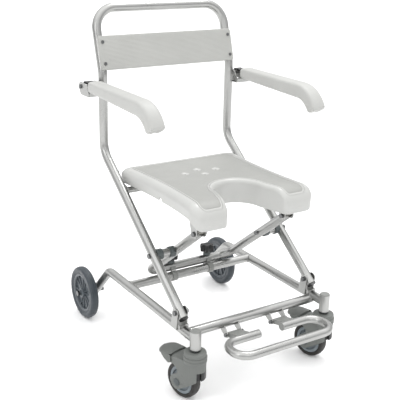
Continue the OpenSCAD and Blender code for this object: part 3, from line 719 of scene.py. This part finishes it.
def rear_wheel(side):
    x, y, z = REAR_WHEEL
    m = x_axis_frame(SIGN[side] * x, y, z, 0.2)
    crown = []
    for k in range(-12, 13):
        a = math.radians(k * 7.2)
        crown.append((68.5 + 11.5 * math.cos(a) ** 0.62, 12.9 * math.sin(a)))
    # two fine grooves round the tread
    groove = [(r - (0.7 if abs(abs(h) - 5.2) < 0.9 else 0), h) for r, h in crown]
    profile = [(58.6, -8.2), (59.6, -9.6), (61.5, -10.4), (63.2, -10.2), (64.6, -11.6)] + groove[1:-1]
    profile += [(64.6, 11.6), (63.2, 10.2), (61.5, 10.4), (59.6, 9.6), (58.6, 8.2)]
    v, f = place(lathe(profile, 120), m)
    piece(side + "_rear_tread", v, f, M["rear_tyre_rubber"], side + "_rear_wheel", sharp=42,
          replaces=(side + "_rear_tyre",))
    parts = []
    ring = [(51.0, -6.5), (51.8, -8.6), (54.5, -9.0), (55.4, -10.0), (58.2, -10.0), (59.0, -9.2),
            (59.0, 9.2), (58.2, 10.0), (55.4, 10.0), (54.5, 9.0), (51.8, 8.6), (51.0, 6.5)]
    parts.append(lathe(ring, 120))
    hub = [(5.06, -16.5), (9.0, -16.5), (9.6, -15.9), (9.8, -13.0), (13.6, -12.4), (15.0, -11.2), (15.6, -6.0),
           (15.6, 6.0), (15.0, 11.2), (13.6, 12.4), (9.8, 13.0), (9.6, 15.9), (9.0, 16.5), (5.06, 16.5)]
    parts.append(lathe(hub, 64))
    # the spokes stand on a closed web
    parts.append(lathe([(14.8, -1.9), (51.6, -1.9), (51.6, 1.9), (14.8, 1.9)], 120))
    for i in range(6):
        spin = Matrix.Rotation(math.radians(60 * i), 4, "Z")
        for lean in (-1, 1):
            rings = []
            for k in range(9):
                t = k / 8
                r = 13.0 + 39.5 * t
                centre = Vector((r, lean * (2.6 + 8.6 * t), 0))
                half = 2.1 - 0.4 * math.sin(math.pi * t)
                deep = 7.4 - 2.0 * math.sin(math.pi * min(1, t * 1.05)) * 0.9
                rings.append([tuple(centre + Vector((0, u, w))) for u, w in super_ring(half, deep, 3.0, 20)])
            parts.append(place(loft(rings), spin))
    v, f = place(merge(*parts), m)
    piece(side + "_spoked_rim", v, f, M["rear_rim_plastic"], side + "_rear_wheel", sharp=40,
          replaces=(side + "_rear_rim",))


for side in SIGN:
    rear_wheel(side)


# ---------- front casters ----------

def caster(side):
    swivel = Matrix.Translation((SIGN[side] * SIDE_X, POST_Y, 0))
    m = swivel @ Matrix.Rotation(math.radians(CASTER_TURN), 4, "Z")
    wheel = m @ x_axis_frame(0, *CASTER_AXLE)
    crown = []
    for k in range(-12, 13):
        a = math.radians(k * 7.3)
        crown.append((41.5 + 8.5 * math.cos(a) ** 0.55, 13.9 * math.sin(a)))
    profile = [(37.9, -10.5), (38.6, -12.2), (40.5, -12.9)] + crown[1:-1]
    profile += [(40.5, 12.9), (38.6, 12.2), (37.9, 10.5)]
    v, f = place(lathe(profile, 96), wheel)
    piece(side + "_caster_tread", v, f, M["caster_tyre_rubber"], side + "_caster_wheel",
          sharp=42, replaces=(side + "_caster_tyre",))
    rim = [(5.06, -15), (10.6, -15), (11.0, -14.4), (11.2, -7.5), (13.0, -6.4), (26.0, -6.4),
           (28.5, -8.0), (29.2, -11.2), (30.2, -12.3), (36.6, -12.3), (37.8, -11.4), (38.1, -9.5)]
    rim = rim + [(r, -h) for r, h in reversed(rim)]
    v, f = place(lathe(rim, 96), wheel)
    piece(side + "_caster_disc", v, f, M["caster_rim_plastic"], side + "_caster_wheel",
          sharp=35, replaces=(side + "_caster_rim",))
    # housing: turned head, round front wall, and two cheeks with lobes for the brake's pin
    parts = []
    head = [(6.06, 116), (27.0, 116), (29.8, 116.6), (30.6, 118.5), (30.9, 124.0), (30.6, 124.8),
            (29.8, 125.2), (29.8, 126.2), (30.8, 126.8), (31.0, 131.5), (30.2, 133.2), (28.6, 133.8),
            (28.2, 134.4), (28.2, 135.6), (29.0, 136.4), (29.0, 141.0), (28.2, 143.4), (26.0, 144.8),
            (14.5, 145.2), (13.6, 144.4), (6.06, 144.2)]
    parts.append(lathe(head, 72))
    cheek = rounded([(-3, 121), (-3, 55), (34, 30), (42, 28), (54, 34), (63, 51), (60, 62), (38, 77), (36, 87),
                     (50, 97), (66, 98), (74, 95.5), (83, 104), (74, 112.5), (60, 115), (44, 121)],
                    [0, 0, 9, 9, 11, 10, 10, 11, 9, 8, 9, 9, 9, 9, 12, 5], 6)
    axle = circle(*CASTER_AXLE, 5.06, 28)
    # a plate is drawn in (y, z) with its thickness along x
    turn_up = Matrix(((0, 0, 1, 0), (1, 0, 0, 0), (0, 1, 0, 0), (0, 0, 0, 1)))
    for x in (-27.3, 22.5):
        plate = prism([cheek, axle], 4.8, 0.9, 2)
        parts.append(place(plate, Matrix.Translation((x, 0, 0)) @ turn_up))

    def wall(half_w, reach, thick, spans):
        """A wall round the front; each span is (angle from straight ahead, low, high)."""
        rings = []
        for deg, low, high in spans:
            a = math.radians(deg)
            ring = []
            for d, z in ((0, low), (0, high), (thick, high), (thick, low)):
                ring.append(((half_w - d) * math.sin(a), -(reach - d) * math.cos(a), z))
            rings.append(ring)
        return loft(rings)

    spans = [(-90 + 4.45 * k, 54 + 16 * k / 11, 119) for k in range(12)]
    spans += [(-41 + 4.1 * k, 95, 119) for k in range(21)]
    spans += [(41.05 + 4.45 * k, 70 - 16 * k / 11, 119) for k in range(12)]
    parts.append(wall(27.3, 30.4, 4.8, spans))
    # the hood follows the wheel's top
    hood = 60.5
    rings = []
    for k in range(15):
        a = math.radians(150 - 88 * k / 14)
        cy, cz = CASTER_AXLE[0] + hood * math.cos(a), CASTER_AXLE[1] + hood * math.sin(a)
        section = super_ring(23.4, 3.0, 5.0, 24)
        rings.append([(u, cy + w * math.cos(a), cz + w * math.sin(a)) for u, w in section])
    parts.append(loft(rings))
    # a deck closes the gap between the head and the pedal
    parts.append(loft([[(u, 18 + 5 * k, 115.9 + w) for u, w in super_ring(27.3 - 0.04 * k * k, 3.6, 4.5, 32)]
                       for k in range(9)]))
    v, f = place(merge(*parts), m)
    piece(side + "_caster_housing", v, f, M["grey_plastic"], side + "_caster", sharp=32,
          replaces=(side + "_fork",))
    # the dark insert in the housing's front
    low, high = 71.5, 94.6
    inner = wall(22.0, 24.4, 2.0, [(-52 + 5.2 * k, low, high) for k in range(21)])
    front = wall(26.0, 29.2, 5.0, [(-14 + 5.45 * k, low, high) for k in range(11)])
    v, f = place(merge(inner, front), m)
    piece(side + "_caster_insert", v, f, M["black_plastic"], side + "_caster", sharp=32)
    cap = [(0.01, 0), (8.6, 0), (9.8, 0.8), (10.2, 2.0), (10.2, 2.6), (0.01, 2.6)]
    mirrored = [(r, 2.6 - h) for r, h in cap]
    caps = [place(lathe(cap, 40), x_axis_frame(-29.7, *CASTER_AXLE)),
            place(lathe(mirrored, 40), x_axis_frame(27.1, *CASTER_AXLE))]
    v, f = place(merge(*caps), m)
    piece(side + "_axle_caps", v, f, M["hub_plastic"], side + "_caster", sharp=40,
          replaces=(side + "_caster_pins",))
    # the wheel's axle and the pedal's pin
    pins = []
    for r, half, count, at in ((4.95, 27, 32, CASTER_AXLE), (2.95, 27.8, 24, PEDAL_PIN)):
        pin = lathe([(0.01, -half), (r, -half), (r, half), (0.01, half)], count)
        pins.append(place(pin, x_axis_frame(0, *at)))
    v, f = place(merge(*pins), m)
    piece(side + "_caster_shafts", v, f, M["steel_bolt"], side + "_caster")
    # pedal: a broad paddle above the lobes, its root between the cheeks, and a skirt each side
    rings = []
    for k in range(25):
        t = k / 24
        y = 63 + 50 * t
        wide = 25.5 + 6.0 * math.sin(math.pi / 2 * min(1, t * 2.2))
        start = max(0.0, 1 - t / 0.16)
        wide -= 4.0 * start ** 2
        end = max(0.0, (t - 0.55) / 0.45)
        wide *= math.sqrt(max(0.015, 1 - end ** 2.3))
        z = 117.4 - 1.6 * t ** 2
        thick = 3.8 - 0.4 * t - 1.0 * end ** 3
        rings.append([(u, y, z + w + 1.8 * (1 - (u / 32) ** 2)) for u, w in super_ring(wide, thick, 3.0, 36)])
    root = []
    for k in range(9):
        t = k / 8
        section = super_ring(20.6 - 2 * t, 9.0 - 5.5 * t, 4.0, 28)
        root.append([(u, 61 + 40 * t, 108.5 + 5.5 * t + w) for u, w in section])
    skirt = rounded([(58, 101), (66, 96), (79, 102), (88, 109), (93, 114), (91, 118.6), (60, 119.3)],
                    [5, 8, 12, 8, 2, 1, 3], 6)
    pedal = [loft(rings), loft(root)]
    for x in (-31.0, 28.0):
        pedal.append(place(prism([skirt], 3.0, 0.6, 2), Matrix.Translation((x, 0, 0)) @ turn_up))
    v, f = place(merge(*pedal), m)
    piece(side + "_brake_tongue", v, f, M["grey_plastic"], side + "_brake", sharp=50,
          replaces=(side + "_pedal",))


for side in SIGN:
    caster(side)


# ---------- clamp knobs ----------

def knob(side):
    x, y, z = KNOB
    m = Matrix.Translation((SIGN[side] * x, y, z + TUBE_R))

    def lobes(a, r):
        if r < 12:
            return r
        return r + 3.3 * (r / 20.0) * (math.cos(6 * a) + 0.18 * math.cos(12 * a)) - 0.8

    star = [(0.01, 12), (15.5, 12), (18.2, 13.2), (19.4, 15.6), (19.9, 20), (19.9, 26),
            (19.0, 29.5), (16.5, 32.0), (11.8, 33.4), (10.6, 32.6), (6.0, 32.2), (0.01, 32.2)]
    collar = [(4.1, 0.4), (11.0, 0.4), (11.4, 1.4), (10.6, 6.0), (8.6, 11.0), (8.0, 12.4), (4.1, 12.4)]
    screw = lathe([(0.01, -26.8), (3.2, -26.8), (3.95, -26.0), (3.95, 12), (0.01, 12)], 28)
    v, f = place(merge(lathe(star, 96, radius=lobes), screw), m)
    piece(side + "_star_knob", v, f, M["black_plastic"], side + "_clamp", sharp=45,
          replaces=(side + "_knob",))
    v, f = place(lathe(collar, 48), m)
    piece(side + "_knob_collar", v, f, M["hub_plastic"], side + "_clamp", sharp=40)


for side in SIGN:
    knob(side)


# ---------- weld beads ----------

def bead(path, radius):
    """A rippled bead along a path of points."""
    pts = [Vector(p) for p in path]
    rings = []
    length = 0.0
    for i, p in enumerate(pts):
        if i:
            length += (p - pts[i - 1]).length
        d = (pts[min(i + 1, len(pts) - 1)] - pts[max(i - 1, 0)]).normalized()
        side_v = d.orthogonal().normalized()
        other = d.cross(side_v)
        taper = min(1.0, 0.45 + 0.2 * min(i, len(pts) - 1 - i))
        r = radius * taper * (1 + 0.13 * math.sin(length * 2.6))
        rings.append([tuple(p + side_v * u + other * w) for u, w in circle(0, 0, r, 10)])
    return loft(rings)


def cope_runs(s, tube):
    """Where a cross tube meets a base side tube, as runs of points."""
    path = []
    for k in range(73):
        a = 2 * math.pi * k / 72
        y, z = tube[0] + TUBE_R * math.cos(a), tube[1] + TUBE_R * math.sin(a)
        off = z - BASE_Z
        if abs(off) < TUBE_R - 0.4:
            path.append((s * (SIDE_X - math.sqrt(TUBE_R * TUBE_R - off * off)), y, z))
        elif path and off < 0:
            path.append(None)
    runs, now = [], []
    for q in path + [None]:
        if q is not None:
            now.append(q)
            continue
        if len(now) > 6:
            runs.append(now)
        now = []
    return runs


def post_run(s):
    """Where a base side tube leaves its front post."""
    run = []
    for k in range(41):
        a = math.radians(-100 + 200 * k / 40)
        y, z = TUBE_R * math.sin(a), TUBE_R * math.cos(a)
        run.append((s * SIDE_X + y, POST_Y + math.sqrt(POST_R ** 2 - y * y), BASE_Z + z))
    return run


beads = []
for s in SIGN.values():
    for tube in CROSS_TUBES:
        beads += [bead(run, 1.9) for run in cope_runs(s, tube)]
    beads.append(bead(post_run(s), 1.8))
v, f = merge(*beads)
piece("weld_beads", v, f, weld_metal, "base", sharp=60)


# ---------- floor ----------

def floor():
    m, t, b = node_tree("pale_floor")
    xyz = t.nodes.new("ShaderNodeTexCoord").outputs["Object"]
    tone = ramp(t, noise(t, xyz, 3, 2), 0.4, 0.6, (0.965, 0.965, 0.965), (0.975, 0.975, 0.975))
    t.links.new(tone, b.inputs["Base Color"])
    b.inputs["Roughness"].default_value = 0.9
    b.inputs["Specular IOR Level"].default_value = 0.1
    me = bpy.data.meshes.new("floor")
    me.from_pydata([(-30, -30, 0), (30, -30, 0), (30, 30, 0), (-30, 30, 0)], [], [(0, 1, 2, 3)])
    me.materials.append(m)
    ob = bpy.data.objects.new("floor", me)
    scene.collection.objects.link(ob)


floor()

bpy.context.view_layer.update()
